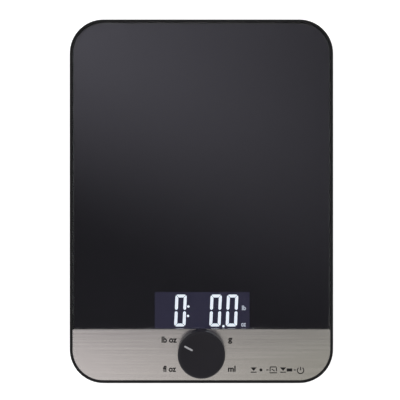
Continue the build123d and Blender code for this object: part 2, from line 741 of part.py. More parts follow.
def selector_shaft():
    """Two flats below, for the rotor; round in the bushing; one flat above, for the knob."""
    shaft = double_d(DRIVE_R, DRIVE_FLAT, SHAFT_FOOT_Z, 14.4) + disc(0, KNOB_Y, SHAFT_R, 14.3, 23.2)
    return shaft + single_d(SHAFT_R, SHAFT_FLAT, 23.0, KNOB_TOP_Z - KNOB_CAP - 0.1)


def selector_rotor():
    """Wiper disc that turns with the shaft but doesn't slide with it."""
    rotor = disc(0, KNOB_Y, 5.3, ROTOR_Z, ROTOR_Z + 1.4)
    for angle in UNIT_ANGLES:
        notch = Pos(5.3, 0, ROTOR_Z) * Cylinder(0.5, 3)
        rotor -= Pos(0, KNOB_Y, 0) * Rot(0, 0, angle) * notch
    return rotor - double_d(DRIVE_R + 0.07, DRIVE_FLAT + 0.07, 0, REACH)


# ---- Knob ----


def dish_cutter(lift):
    """A large ball that leaves the knob's shallow dished face when cut from it."""
    ball_r = (KNOB_FACE_R**2 + DISH**2) / (2 * DISH)
    return Pos(0, KNOB_Y, KNOB_TOP_Z - DISH + ball_r + lift) * Sphere(ball_r)


def indicator_bar(clearance, z0, z1):
    """The pointer's rounded bar, grown by a clearance for the recess it sits in."""
    length, width, middle_r = 5.8, 1.1, 9.1
    bar = extrude(SlotOverall(length + 2 * clearance, width + 2 * clearance), z1 - z0)
    return Pos(0, KNOB_Y, z0) * Rot(0, 0, INDICATOR_ANGLE) * Pos(middle_r, 0, 0) * bar


def knob_cap():
    """Hollow knob: tapered skirt, rounded shoulder, dished face, hub with a D bore and six webs."""
    base_z = TOP_Z + KNOB_LIFT
    shoulder_z = KNOB_TOP_Z - 1.3
    roof_z = KNOB_TOP_Z - KNOB_CAP
    side = Polyline((0, base_z), (KNOB_R, base_z), (KNOB_R, base_z + 0.9), (KNOB_TOP_R, shoulder_z))
    shoulder = ThreePointArc(
        (KNOB_TOP_R, shoulder_z), (KNOB_TOP_R - 0.6, KNOB_TOP_Z - 0.45), (KNOB_FACE_R, KNOB_TOP_Z)
    )
    closing = Polyline((KNOB_FACE_R, KNOB_TOP_Z), (0, KNOB_TOP_Z), (0, base_z))
    outline = Plane.XZ * make_face(side + shoulder + closing)
    knob = Pos(0, KNOB_Y, 0) * revolve(outline, Axis.Z)
    knob -= dish_cutter(0)
    knob -= revolved([(0, 0), (13.0, 0), (13.0, base_z), (12.4, roof_z), (0, roof_z)], 0, KNOB_Y)
    hub = disc(0, KNOB_Y, 4.8, 23.7, roof_z + 0.2)
    for n in range(6):
        web = block(4.0, 12.8, -0.5, 0.5, 25.0, roof_z + 0.2)
        hub += Pos(0, KNOB_Y, 0) * Rot(0, 0, 60 * n + 20) * web
    knob += hub
    knob -= single_d(SHAFT_R + 0.02, SHAFT_FLAT + 0.02, 20, roof_z)
    return knob - indicator_bar(0.02, KNOB_TOP_Z - DISH - 0.55, KNOB_TOP_Z + 1)


def knob_indicator():
    """The inlaid pointer, which follows the dished face 0.04 mm proud of it."""
    bar = indicator_bar(0, KNOB_TOP_Z - DISH - 0.55, KNOB_TOP_Z + 1)
    return bar - dish_cutter(0.04)


def battery_leads():
    """The red and black wires from the solder tabs, along the floor, up to the board."""
    on_floor, on_tab, on_board = FLOOR_Z + 0.7, TAB_TOP_Z + LEAD_D / 2, PCB_TOP_Z + 0.7
    red_route = [
        (28.6, -BATTERY_Y, on_tab),
        (32.6, -7.0, on_tab),
        (35.5, -16.0, on_floor),
        (31.0, -29.0, on_floor),
        (20.5, -36.0, on_floor),
        (18.8, -41.5, on_board),
        (18.5, -47.5, on_board),
    ]
    black_route = [
        (28.6, BATTERY_Y, on_tab),
        (34.5, 3.5, on_tab),
        (38.5, -10.0, on_floor),
        (34.0, -30.0, on_floor),
        (25.0, -37.0, on_floor),
        (23.3, -41.8, on_board),
        (23.0, -47.5, on_board),
    ]
    routes = {"battery_lead_red": red_route, "battery_lead_black": black_route}
    return {name: routed_tube(name, route, LEAD_D) for name, route in routes.items()}


def contacts():
    """The end plates of the battery bay: a bridge on the left, two separate plates on the right."""
    half = 3.6
    bridge = contact_plate(-1, -BATTERY_Y - half, BATTERY_Y + half) + bump(-1, BATTERY_Y)
    positive = contact_plate(1, -BATTERY_Y - half, -BATTERY_Y + half) + bump(1, -BATTERY_Y)
    negative = contact_plate(1, BATTERY_Y - half, BATTERY_Y + half)
    return {
        "contact_bridge": bridge,
        "contact_positive": positive + solder_tab(-BATTERY_Y),
        "contact_negative": negative + solder_tab(BATTERY_Y),
    }


def feet():
    """The four feet: cup, pad, load cell and wire at each place."""
    nodes = {}
    for place, (x, y) in FEET.items():
        nodes[f"foot_cup_{place}"] = foot_cup(x, y)
        nodes[f"foot_pad_{place}"] = foot_pad(x, y)
        nodes[f"load_cell_{place}"] = load_cell(x, y)
        nodes[f"cell_wire_{place}"] = cell_wire(f"cell_wire_{place}", x, y)
    return nodes


def build():
    """Every node by name."""
    return {
        "glass_platform": glass_platform(),
        "glass_backprint": glass_backprint(),
        "glass_tape": glass_tape(),
        "steel_fascia": steel_fascia(),
        "fascia_tape": fascia_tape(),
        "upper_housing": upper_housing(),
        "lower_housing": lower_housing(),
        "housing_screws": housing_screws(),
        "battery_door": battery_door(),
        "battery_front": battery(1),
        "battery_rear": battery(-1),
        **contacts(),
        "spring_negative": contact_spring(1),
        "spring_bridge": contact_spring(-1),
        **battery_leads(),
        "main_pcb": main_pcb(),
        "pcb_components": pcb_components(),
        "pcb_screws": pcb_screws(),
        "lcd_frame": lcd_frame(),
        "lcd_glass": lcd_glass(),
        "lcd_polarizers": lcd_polarizers(),
        "diffuser_film": diffuser_film(),
        "light_guide": light_guide(),
        "backlight_leds": backlight_leds(),
        "zebra_strip": zebra_strip(),
        "display_gasket": display_gasket(),
        "selector_case": selector_case(),
        "selector_base": selector_base(),
        "selector_pins": selector_pins(),
        "selector_bushing": selector_bushing(),
        "selector_washer": selector_washer(),
        "selector_nut": selector_nut(),
        "selector_shaft": selector_shaft(),
        "selector_rotor": selector_rotor(),
        "snap_dome": snap_dome(),
        "switch_plunger": switch_plunger(),
        "knob_cap": knob_cap(),
        "knob_indicator": knob_indicator(),
        "strain_gauges": strain_gauges(),
        "load_cell_screws": load_cell_screws(),
        **feet(),
    }


os.makedirs("parts", exist_ok=True)
for node, shape in build().items():
    export_step(shape, f"parts/{node}.step")
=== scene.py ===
"""Looks of the kitchen scale: materials, lit display, printed marks, light and camera."""

import math

import bpy
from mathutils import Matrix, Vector


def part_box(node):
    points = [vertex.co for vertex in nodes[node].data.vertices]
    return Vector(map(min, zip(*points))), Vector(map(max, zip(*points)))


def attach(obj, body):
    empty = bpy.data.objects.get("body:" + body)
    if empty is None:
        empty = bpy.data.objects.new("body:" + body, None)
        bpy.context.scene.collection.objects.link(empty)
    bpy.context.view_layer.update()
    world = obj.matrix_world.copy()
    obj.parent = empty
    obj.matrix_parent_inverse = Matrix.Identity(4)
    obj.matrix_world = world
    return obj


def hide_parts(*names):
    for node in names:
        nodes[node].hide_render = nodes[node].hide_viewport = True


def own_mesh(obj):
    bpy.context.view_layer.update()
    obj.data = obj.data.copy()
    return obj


MM = 0.001

# Camera: straight above, at the distance that suits the knob's perspective
TOP_Z = 20.5 * MM
CAMERA_HEIGHT = 0.62
CAMERA_X = -0.9 * MM
CAMERA_Y = 0.81 * MM
SEEN_WIDTH = 252.8 * MM
SENSOR = 36.0
FLOOR_Z = -0.1 * MM  # just under the rubber pads

# Two overhead panels: the glass mirrors one and the steel the other. Places on them are given by
# the places on the scale that mirror them, and MIRROR is how much larger the panels are for that.
PANEL_Z = 1.4
MIRROR = (CAMERA_HEIGHT + PANEL_Z - TOP_Z) / CAMERA_HEIGHT
SPLIT_Y = -80.7 * MM
GLOW_TINT = (1.04, 1.0, 1.18, 1.0)
GLOW_DIM = 0.135
GLOW_BRIGHT = 0.455
GLOW_FALL = 2.75
GLOW_SLANT = 0.41
GLOW_EDGE_Y = 9.7 * MM
GLOW_EDGE_HALF = 70.0 * MM
FRONT_LEFT_GLOW = (1.08, 1.02, 1.015)
FRONT_RIGHT_GLOW = (0.485, 0.48, 0.41)
FRONT_SPREAD = 85.0 * MM
FRONT_STRENGTH = 1.0
REAR_HALF_X = 100.0 * MM
REAR_END_Y = 130.0 * MM
FRONT_HALF_X = 250.0 * MM
FRONT_END_Y = -280.0 * MM

# Soft light from all round, a key light at the rear left, and the floor
WORLD_STRENGTH = 0.75
KEY_PLACE = (-0.9, 0.7, 1.1)
KEY_SIZE = 0.8
KEY_POWER = 6.0
FLOOR_SIZE = 12.0
FLOOR_GLOW = 0.65

# Display
SEGMENT_Z = 16.1 * MM
SEGMENT_THICKNESS = 0.04 * MM
DIGIT_WIDTH = 7.2 * MM
DIGIT_HEIGHT = 20.3 * MM
DIGIT_STROKE = 1.9 * MM
DIGIT_SLANT = math.tan(math.radians(2.5))
DIGIT_Y = -69.37 * MM
DIGIT_XS = (-13.3 * MM, 9.0 * MM, 19.4 * MM)
COLON_DOTS = ((-8.3 * MM, -66.8 * MM), (-8.5 * MM, -72.8 * MM))
COLON_DOT_R = 0.78 * MM
DECIMAL_POINT = (14.0 * MM, -79.35 * MM)
DECIMAL_POINT_R = 0.75 * MM

# Printed marks
INK_LIFT = 0.02 * MM
SIGN_Y = -106.6 * MM
SIGN_STROKE = 0.6 * MM
SHORT_PRESS_DOT_R = 0.95 * MM
LONG_PRESS_BAR = 1.9 * MM
TEXT_BOLDNESS = 0.035

# Inside
BARE_NEGATIVE_END = 0.6 * MM
BARE_POSITIVE_END = 1.5 * MM
BATTERY_BAND = (17.0 * MM, 24.0 * MM)  # from the battery's middle
SOLDER_DEPTH = 2.1 * MM
CRYSTAL_X = (-34.2 * MM, -30.8 * MM)

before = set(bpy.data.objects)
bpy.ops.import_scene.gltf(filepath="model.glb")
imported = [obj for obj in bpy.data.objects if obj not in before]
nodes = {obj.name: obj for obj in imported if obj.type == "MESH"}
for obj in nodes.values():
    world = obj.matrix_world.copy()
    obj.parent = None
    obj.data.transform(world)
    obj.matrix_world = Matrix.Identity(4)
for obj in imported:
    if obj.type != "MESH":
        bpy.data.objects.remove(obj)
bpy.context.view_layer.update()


# ---- Material tools ----


def shader_of(material):
    return material.node_tree.nodes["Principled BSDF"]


def new_material(name, colour, roughness=0.5, metallic=0.0, **sockets):
    """A Principled material with plain numbers on its sockets."""
    material = bpy.data.materials.new(name)
    material.use_nodes = True
    shader = shader_of(material)
    shader.inputs["Base Color"].default_value = (*colour, 1.0)
    shader.inputs["Roughness"].default_value = roughness
    shader.inputs["Metallic"].default_value = metallic
    for socket, value in sockets.items():
        shader.inputs[socket.replace("_", " ")].default_value = value
    material.diffuse_color = (*colour, 1.0)
    return material


def let_glow(material, colour, strength):
    shader = shader_of(material)
    shader.inputs["Emission Color"].default_value = (*colour, 1.0)
    shader.inputs["Emission Strength"].default_value = strength


def add(material, kind, **properties):
    node = material.node_tree.nodes.new(kind)
    for name, value in properties.items():
        setattr(node, name, value)
    return node


def link(material, source, target):
    material.node_tree.links.new(source, target)


def noise(material, scale, detail=3.0, stretch=(1.0, 1.0, 1.0)):
    """Noise in object space; scale is in cycles per metre, divided along each axis by stretch."""
    place = add(material, "ShaderNodeTexCoord")
    mapping = add(material, "ShaderNodeMapping")
    mapping.inputs["Scale"].default_value = [1.0 / s for s in stretch]
    texture = add(material, "ShaderNodeTexNoise")
    texture.inputs["Scale"].default_value = scale
    texture.inputs["Detail"].default_value = detail
    link(material, place.outputs["Object"], mapping.inputs["Vector"])
    link(material, mapping.outputs["Vector"], texture.inputs["Vector"])
    return texture.outputs["Fac"]


def vary_roughness(material, source, low, high):
    spread = add(material, "ShaderNodeMapRange")
    spread.inputs["To Min"].default_value = low
    spread.inputs["To Max"].default_value = high
    link(material, source, spread.inputs["Value"])
    link(material, spread.outputs["Result"], shader_of(material).inputs["Roughness"])


def vary_colour(material, source, low, high):
    mix = add(material, "ShaderNodeMix", data_type="RGBA")
    mix.inputs["A"].default_value = (*low, 1.0)
    mix.inputs["B"].default_value = (*high, 1.0)
    link(material, source, mix.inputs["Factor"])
    link(material, mix.outputs["Result"], shader_of(material).inputs["Base Color"])


def bump(material, source, distance):
    relief = add(material, "ShaderNodeBump")
    relief.inputs["Distance"].default_value = distance
    link(material, source, relief.inputs["Height"])
    link(material, relief.outputs["Normal"], shader_of(material).inputs["Normal"])


def scaled(colour, factor):
    return tuple(min(1.0, c * factor) for c in colour)


def moulded(name, colour, roughness=0.5, grain=2500.0, relief=0.012 * MM, **sockets):
    """Moulded plastic or rubber: fine grain with faint cloudiness in colour and gloss."""
    material = new_material(name, colour, roughness, **sockets)
    clouds = noise(material, 60.0, 2.0)
    vary_colour(material, clouds, scaled(colour, 0.88), scaled(colour, 1.12))
    vary_roughness(material, clouds, roughness - 0.06, roughness + 0.06)
    bump(material, noise(material, grain, 2.0), relief)
    return material


def metal(name, colour, roughness=0.25, grain=900.0, stretch=(1.0, 1.0, 1.0), relief=0.002 * MM):
    """Rolled, turned or plated metal; stretch draws the grain out along an axis."""
    material = new_material(name, colour, roughness, 1.0)
    streaks = noise(material, grain, 4.0, stretch)
    vary_colour(material, streaks, scaled(colour, 0.92), scaled(colour, 1.06))
    vary_roughness(material, streaks, roughness - 0.07, roughness + 0.07)
    bump(material, streaks, relief)
    return material


def band_mask(material, axis, low, high):
    """1 between two positions along an object axis, in metres, and 0 outside."""
    place = add(material, "ShaderNodeTexCoord")
    split = add(material, "ShaderNodeSeparateXYZ")
    above = add(material, "ShaderNodeMath", operation="GREATER_THAN")
    below = add(material, "ShaderNodeMath", operation="LESS_THAN")
    both = add(material, "ShaderNodeMath", operation="MULTIPLY")
    above.inputs[1].default_value = low
    below.inputs[1].default_value = high
    link(material, place.outputs["Object"], split.inputs["Vector"])
    link(material, split.outputs[axis], above.inputs[0])
    link(material, split.outputs[axis], below.inputs[0])
    link(material, above.outputs["Value"], both.inputs[0])
    link(material, below.outputs["Value"], both.inputs[1])
    return both.outputs["Value"]


def over(material, mask, colour, metallic=None):
    """Lays a second colour, and optionally metal, over a material where the mask is 1."""
    base = shader_of(material).inputs["Base Color"]
    mix = add(material, "ShaderNodeMix", data_type="RGBA")
    mix.inputs["B"].default_value = (*colour, 1.0)
    link(material, base.links[0].from_socket, mix.inputs["A"])
    link(material, mask, mix.inputs["Factor"])
    link(material, mix.outputs["Result"], base)
    if metallic is not None:
        link(material, mask, shader_of(material).inputs["Metallic"])


def dress(material, *names):
    for name in names:
        nodes[name].data.materials.clear()
        nodes[name].data.materials.append(material)


# ---- Materials of the visible outside ----


def dress_platform():
    glass = new_material("clear_glass", (0.93, 0.95, 0.95), 0.03, Transmission_Weight=1.0, IOR=1.5)
    smears = noise(glass, 14.0, 3.0, (1.0, 2.0, 1.0))
    vary_roughness(glass, smears, 0.005, 0.02)
    dress(glass, "glass_platform")
    colour = (0.0065, 0.0061, 0.0078)
    ink = moulded("black_backprint", colour, 0.6, 4000.0, 0.002 * MM, Specular_IOR_Level=0.0)
    dress(ink, "glass_backprint")
    dress(moulded("foam_tape", (0.5, 0.5, 0.47), 0.85, 3000.0), "glass_tape", "fascia_tape")


def dress_fascia():
    """Stainless steel brushed along its length: long fine streaks in colour, gloss and relief."""
    colour = (0.56, 0.545, 0.535)
    steel = new_material("brushed_stainless", colour, 0.34, 1.0)
    fine = noise(steel, 5200.0, 3.0, (220.0, 1.0, 1.0))
    broad = noise(steel, 700.0, 4.0, (60.0, 1.0, 1.0))
    blend = add(steel, "ShaderNodeMath", operation="ADD")
    half = add(steel, "ShaderNodeMath", operation="MULTIPLY")
    half.inputs[1].default_value = 0.5
    link(steel, fine, blend.inputs[0])
    link(steel, broad, blend.inputs[1])
    link(steel, blend.outputs["Value"], half.inputs[0])
    streaks = half.outputs["Value"]
    vary_colour(steel, streaks, scaled(colour, 0.74), scaled(colour, 1.22))
    vary_roughness(steel, streaks, 0.08, 0.3)
    bump(steel, streaks, 0.02 * MM)
    dress(steel, "steel_fascia")


def dress_housing():
    colour = (0.007, 0.007, 0.0078)
    rim = moulded("housing_black", colour, 0.45, 3500.0, 0.008 * MM, Specular_IOR_Level=0.2)
    dress(rim, "upper_housing")
    shell = moulded("base_black", (0.02, 0.02, 0.021), 0.55, 2200.0, 0.02 * MM)
    dress(shell, "lower_housing", "battery_door")
    screws = metal("screw_zinc", (0.55, 0.55, 0.57), 0.3)
    dress(screws, "housing_screws", "pcb_screws", "load_cell_screws")


def dress_knob():
    colour = (0.0158, 0.015, 0.0188)
    black = moulded("knob_black", colour, 0.36, 3000.0, 0.004 * MM, Specular_IOR_Level=0.15)
    dress(black, "knob_cap")
    dress(moulded("pointer_grey", (0.42, 0.42, 0.44), 0.4), "knob_indicator")


def dress_feet():
    cup_black = moulded("foot_plastic", (0.028, 0.028, 0.03), 0.5)
    pad_rubber = moulded("foot_rubber", (0.035, 0.035, 0.037), 0.85, 1600.0, 0.03 * MM)
    cell_steel = metal("load_cell_steel", (0.5, 0.49, 0.47), 0.32, 1200.0, (30.0, 1.0, 1.0))
    wire_grey = moulded("wire_grey", (0.4, 0.4, 0.41), 0.5)
    for place in ("front_left", "front_right", "rear_left", "rear_right"):
        dress(cup_black, f"foot_cup_{place}")
        dress(pad_rubber, f"foot_pad_{place}")
        dress(cell_steel, f"load_cell_{place}")
        dress(wire_grey, f"cell_wire_{place}")


# ---- Materials of the inside ----


def dress_batteries():
    """Dark jackets with a silver band at the positive end and bare metal ends."""
    batteries = (
        ("battery_front", 1, BARE_NEGATIVE_END, BARE_POSITIVE_END),
        ("battery_rear", -1, BARE_POSITIVE_END, BARE_NEGATIVE_END),
    )
    for name, side, bare_left, bare_right in batteries:
        low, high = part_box(name)
        jacket = moulded(f"{name}_jacket", (0.02, 0.035, 0.07), 0.28)
        band = sorted(side * place for place in BATTERY_BAND)
        over(jacket, band_mask(jacket, "X", *band), (0.55, 0.55, 0.55))
        covered = band_mask(jacket, "X", low.x + bare_left, high.x - bare_right)
        bare = add(jacket, "ShaderNodeMath", operation="SUBTRACT")
        bare.inputs[0].default_value = 1.0
        link(jacket, covered, bare.inputs[1])
        over(jacket, bare.outputs["Value"], (0.7, 0.69, 0.67), metallic=1.0)
        dress(jacket, name)


def dress_components():
    """Black packages, with solder along the rear edge and a silver crystal can at the left."""
    parts = moulded("component_black", (0.015, 0.015, 0.016), 0.35)
    rear_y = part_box("pcb_components")[1].y
    solder = band_mask(parts, "Y", rear_y - SOLDER_DEPTH, rear_y + MM)
    over(parts, solder, (0.6, 0.6, 0.6), metallic=1.0)
    over(parts, band_mask(parts, "X", *CRYSTAL_X), (0.62, 0.62, 0.62))
    dress(parts, "pcb_components")


def dress_board():
    board = moulded("solder_mask_green", (0.012, 0.085, 0.03), 0.35, 800.0, 0.01 * MM)
    tracks = add(board, "ShaderNodeTexBrick")
    tracks.inputs["Scale"].default_value = 140.0
    tracks.inputs["Mortar Size"].default_value = 0.03
    tracks.inputs["Color1"].default_value = (0, 0, 0, 1)
    tracks.inputs["Color2"].default_value = (0, 0, 0, 1)
    tracks.inputs["Mortar"].default_value = (1, 1, 1, 1)
    place = add(board, "ShaderNodeTexCoord")
    link(board, place.outputs["Object"], tracks.inputs["Vector"])
    over(board, tracks.outputs["Color"], (0.03, 0.16, 0.06))
    dress(board, "main_pcb")


def dress_display():
    colour = (0.008, 0.008, 0.015)
    film = moulded("display_film", colour, 0.3, 3000.0, 0.001 * MM, Specular_IOR_Level=0.1)
    let_glow(film, (0.46, 0.42, 1.0), 0.033)
    dress(film, "lcd_polarizers")
    colour = (0.75, 0.8, 0.82)
    glass = new_material("display_glass", colour, 0.05, Transmission_Weight=0.85, IOR=1.5)
    vary_roughness(glass, noise(glass, 40.0), 0.03, 0.08)
    dress(glass, "lcd_glass")
    dress(moulded("acrylic_white", (0.75, 0.78, 0.82), 0.3), "light_guide", "diffuser_film")
    dress(moulded("led_package", (0.8, 0.76, 0.5), 0.3), "backlight_leds")
    dress(moulded("holder_white", (0.7, 0.7, 0.68), 0.5), "lcd_frame", "selector_rotor")
    zebra = moulded("zebra_silicone", (0.25, 0.25, 0.27), 0.7)
    stripes = noise(zebra, 4000.0, 0.0, (1.0, 400.0, 400.0))
    over(zebra, stripes, (0.05, 0.05, 0.05))
    dress(zebra, "zebra_strip")
    dress(moulded("black_foam", (0.012, 0.012, 0.012), 0.95, 1500.0, 0.05 * MM), "display_gasket")


def dress_selector():
    blue = moulded("selector_blue", (0.03, 0.06, 0.14), 0.4)
    dress(blue, "selector_case", "selector_base", "switch_plunger")
    dress(metal("pin_brass", (0.72, 0.56, 0.27), 0.3), "selector_pins")
    dress(metal("zinc_alloy", (0.6, 0.6, 0.6), 0.35), "selector_bushing", "selector_shaft")
    plated = metal("plated_steel", (0.68, 0.67, 0.65), 0.2)
    dress(plated, "selector_washer", "selector_nut", "snap_dome")


def dress_wiring():
    dress(moulded("wire_red", (0.45, 0.02, 0.015), 0.45), "battery_lead_red")
    dress(moulded("wire_black", (0.015, 0.015, 0.015), 0.45), "battery_lead_black")
    nickel = metal("nickel_plate", (0.7, 0.67, 0.6), 0.22)
    dress(nickel, "contact_positive", "contact_negative", "contact_bridge")
    dress(nickel, "spring_negative", "spring_bridge")
    dress(moulded("gauge_silicone", (0.75, 0.75, 0.74), 0.25), "strain_gauges")


# ---- Added pieces ----


def add_piece(name, mesh):
    """A new piece that rides on the scale's body."""
    piece = bpy.data.objects.new(name, mesh)
    bpy.context.scene.collection.objects.link(piece)
    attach(piece, "scale_body")
    return piece


def flat_mesh(name, outlines, z, thickness, material):
    """Thin plates from outlines in the XY plane, as one piece."""
    vertices, faces = [], []
    for outline in outlines:
        start, count = len(vertices), len(outline)
        vertices += [(x, y, z) for x, y in outline] + [(x, y, z + thickness) for x, y in outline]
        faces.append([start + count + n for n in range(count)])
        faces.append([start + n for n in reversed(range(count))])
        for n in range(count):
            after = (n + 1) % count
            faces.append([start + n, start + after, start + count + after, start + count + n])
    mesh = bpy.data.meshes.new(name)
    mesh.from_pydata(vertices, [], faces)
    mesh.materials.append(material)
    add_piece(name, mesh)


def circle(x, y, r, count=24):
    steps = [2 * math.pi * n / count for n in range(count)]
    return [(x + r * math.cos(a), y + r * math.sin(a)) for a in steps]


def upright_segment():
    """The upper left bar of a digit, from the digit's centre: mitred on top, round at its foot."""
    left, top, t = -DIGIT_WIDTH / 2, DIGIT_HEIGHT / 2, DIGIT_STROKE
    low = 0.45 * MM
    return [
        (left, top - 1.5 * MM),
        (left + 0.15 * MM, top - 0.95 * MM),
        (left + 0.5 * MM, top - 0.55 * MM),
        (left + t, top - t - 0.15 * MM),
        (left + t, low + 0.8 * MM),
        (left + 0.8 * t, low + 0.2 * MM),
        (left + 0.5 * t, low),
        (left + 0.2 * t, low + 0.2 * MM),
        (left, low + 0.8 * MM),
    ]


def level_segment():
    """The top bar of a digit, which fits the mitres of the upright bars with a thin gap."""
    left, top, t = -DIGIT_WIDTH / 2, DIGIT_HEIGHT / 2, DIGIT_STROKE
    gap = 0.28 * MM
    half = [
        (left + 0.5 * MM + gap, top - 0.5 * MM),
        (left + 1.0 * MM, top - 0.12 * MM),
        (left + 1.6 * MM, top),
    ]
    inner = (left + t + gap, top - t)
    return [*half, *[(-u, v) for u, v in reversed(half)], (-inner[0], inner[1]), inner]


def digit_outlines(x):
    """The six lit segments of a zero, slanted and in place."""
    segments = []
    for flip_v in (1, -1):
        segments.append([(u, flip_v * v) for u, v in level_segment()])
        for flip_u in (1, -1):
            segments.append([(flip_u * u, flip_v * v) for u, v in upright_segment()])
    return [[(x + u + v * DIGIT_SLANT, DIGIT_Y + v) for u, v in segment] for segment in segments]


def lay_text(name, text, box, z, material):
    """Letters as a thin mesh, fitted to a box of (left, right, bottom, top) in millimetres."""
    curve = bpy.data.curves.new(name + "_curve", "FONT")
    curve.body = text
    curve.offset = TEXT_BOLDNESS
    source = bpy.data.objects.new(name + "_source", curve)
    bpy.context.scene.collection.objects.link(source)
    bpy.context.view_layer.update()
    mesh = bpy.data.meshes.new_from_object(source)
    bpy.data.objects.remove(source)
    xs = [v.co.x for v in mesh.vertices]
    ys = [v.co.y for v in mesh.vertices]
    left, right, bottom, top = [value * MM for value in box]
    for vertex, x, y in zip(mesh.vertices, xs, ys):
        vertex.co.x = left + (x - min(xs)) / (max(xs) - min(xs)) * (right - left)
        vertex.co.y = bottom + (y - min(ys)) / (max(ys) - min(ys)) * (top - bottom)
        vertex.co.z = z
    mesh.name = name
    mesh.materials.clear()
    mesh.materials.append(material)
    add_piece(name, mesh)


def build_dome():
    """The snap dome copied as a piece of its own on the scale's body; the real dome flattens under
    the plunger when the knob is pressed.
    """
    piece = add_piece("flexing_dome", nodes["snap_dome"].data.copy())
    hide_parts("snap_dome")
    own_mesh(piece)


def build_display():
    """The lit digits, colon and decimal point, and the dimmer unit names to their right."""
    lit = new_material("segment_light", (0.6, 0.63, 0.7), 0.5)
    let_glow(lit, (0.86, 0.91, 1.0), 0.8)
    outlines = [segment for x in DIGIT_XS for segment in digit_outlines(x)]
    outlines += [circle(x, y, COLON_DOT_R) for x, y in COLON_DOTS]
    outlines.append(circle(*DECIMAL_POINT, DECIMAL_POINT_R))
    flat_mesh("display_segments", outlines, SEGMENT_Z, SEGMENT_THICKNESS, lit)
    dim = new_material("unit_light", (0.3, 0.31, 0.36), 0.5)
    let_glow(dim, (0.8, 0.85, 1.0), 0.42)
    lay_text("display_unit_lb", "lb", (25.7, 28.3, -69.2, -66.2), SEGMENT_Z, dim)
    lay_text("display_unit_oz", "oz", (25.2, 28.3, -79.6, -77.3), SEGMENT_Z, dim)


def bar(start, end, width=SIGN_STROKE):
    """A straight stroke between two points."""
    (x0, y0), (x1, y1) = start, end
    length = math.hypot(x1 - x0, y1 - y0)
    u, v = -(y1 - y0) / length * width / 2, (x1 - x0) / length * width / 2
    return [(x0 - u, y0 - v), (x1 - u, y1 - v), (x1 + u, y1 + v), (x0 + u, y0 + v)]


def dash(left, right, width=SIGN_STROKE):
    """A level stroke at the height of the signs."""
    return bar((left, SIGN_Y), (right, SIGN_Y), width)


def build_marks():
    """The unit names round the knob, and signs for a short press, tare, a long press and power."""
    ink = moulded("print_ink", (0.01, 0.0095, 0.01), 0.6, Specular_IOR_Level=0.2)
    z = TOP_Z + INK_LIFT
    marks = {
        "mark_lb_oz": ("lb oz", (-25.2, -15.5, -89.45, -85.45)),
        "mark_fl_oz": ("fl oz", (-24.3, -15.95, -107.85, -103.95)),
        "mark_g": ("g", (16.8, 19.5, -90.05, -86.25)),
        "mark_ml": ("ml", (16.8, 21.6, -107.75, -103.95)),
    }
    for name, (text, box) in marks.items():
        lay_text(name, text, box, z, ink)
    signs = {
        "sign_short_press": [*press_sign(33.0 * MM), circle(37.6 * MM, SIGN_Y, SHORT_PRESS_DOT_R)],
        "sign_tare": [dash(41.0 * MM, 42.4 * MM), *tare_sign(45.4 * MM)],
        "sign_long_press": [*press_sign(51.6 * MM), dash(53.9 * MM, 57.4 * MM, LONG_PRESS_BAR)],
        "sign_power": [dash(58.3 * MM, 59.7 * MM), *power_sign(62.65 * MM)],
    }
    for name, outlines in signs.items():
        flat_mesh(name, outlines, z, INK_LIFT / 2, ink)


def press_sign(x):
    """An arrowhead that points down at a line."""
    half, top, tip, line = 1.9 * MM, SIGN_Y + 1.6 * MM, SIGN_Y - 0.6 * MM, SIGN_Y - 1.4 * MM
    arrowhead = [(x - half, top), (x, tip), (x + half, top)]
    return [arrowhead, bar((x - half, line), (x + half, line))]


def tare_sign(x):
    """A small scale seen from the front, with a slanting pointer stroke."""
    half_top, half_base = 2.0 * MM, 2.4 * MM
    top, base = SIGN_Y + 1.9 * MM, SIGN_Y - 1.8 * MM
    knee = base + 0.9 * MM
    return [
        bar((x - half_top, top), (x + half_top, top)),
        bar((x - half_top, top - SIGN_STROKE / 2), (x - half_top, knee)),
        bar((x + half_top, top - SIGN_STROKE / 2), (x + half_top, knee)),
        bar((x - half_base, base), (x + half_base, base)),
        bar((x - 1.0 * MM, SIGN_Y + 0.5 * MM), (x + 1.0 * MM, SIGN_Y - 0.7 * MM)),
    ]


def power_sign(x):
    """A ring open at the top with a bar in the opening."""
    middle_r, y, steps = 2.05 * MM, SIGN_Y - 0.25 * MM, 28
    half_opening = math.radians(38)
    sweep = 2 * math.pi - 2 * half_opening
    angles = [math.pi / 2 + half_opening + n * sweep / steps for n in range(steps + 1)]
    arcs = []
    for r in (middle_r + SIGN_STROKE / 2, middle_r - SIGN_STROKE / 2):
        arcs.append([(x + r * math.cos(a), y + r * math.sin(a)) for a in angles])
    return [arcs[0] + arcs[1][::-1], bar((x, y), (x, y + 2.2 * MM))]


dress_platform()
dress_fascia()
dress_housing()
dress_knob()
dress_feet()
dress_batteries()
dress_components()
dress_board()
dress_display()
dress_selector()
dress_wiring()
build_dome()
build_display()
build_marks()


# ---- Stage, light and camera ----


def see_through_from_below(material):
    """Only the upper side is seen, so that the scale's underside can be looked at."""
    clear = add(material, "ShaderNodeBsdfTransparent")
    sides = add(material, "ShaderNodeMixShader")
    link(material, add(material, "ShaderNodeNewGeometry").outputs["Backfacing"], sides.inputs[0])
    link(material, shader_of(material).outputs["BSDF"], sides.inputs[1])
    link(material, clear.outputs["BSDF"], sides.inputs[2])
    output = material.node_tree.nodes["Material Output"]
    link(material, sides.outputs["Shader"], output.inputs["Surface"])


def build_floor():
    paper = new_material("floor_white", (0.85, 0.85, 0.85), 0.8)
    let_glow(paper, (1.0, 1.0, 1.0), FLOOR_GLOW)
    see_through_from_below(paper)
    bpy.ops.mesh.primitive_plane_add(size=FLOOR_SIZE, location=(0, 0, FLOOR_Z))
    floor = bpy.context.object
    floor.name = "floor"
    floor.data.materials.append(paper)


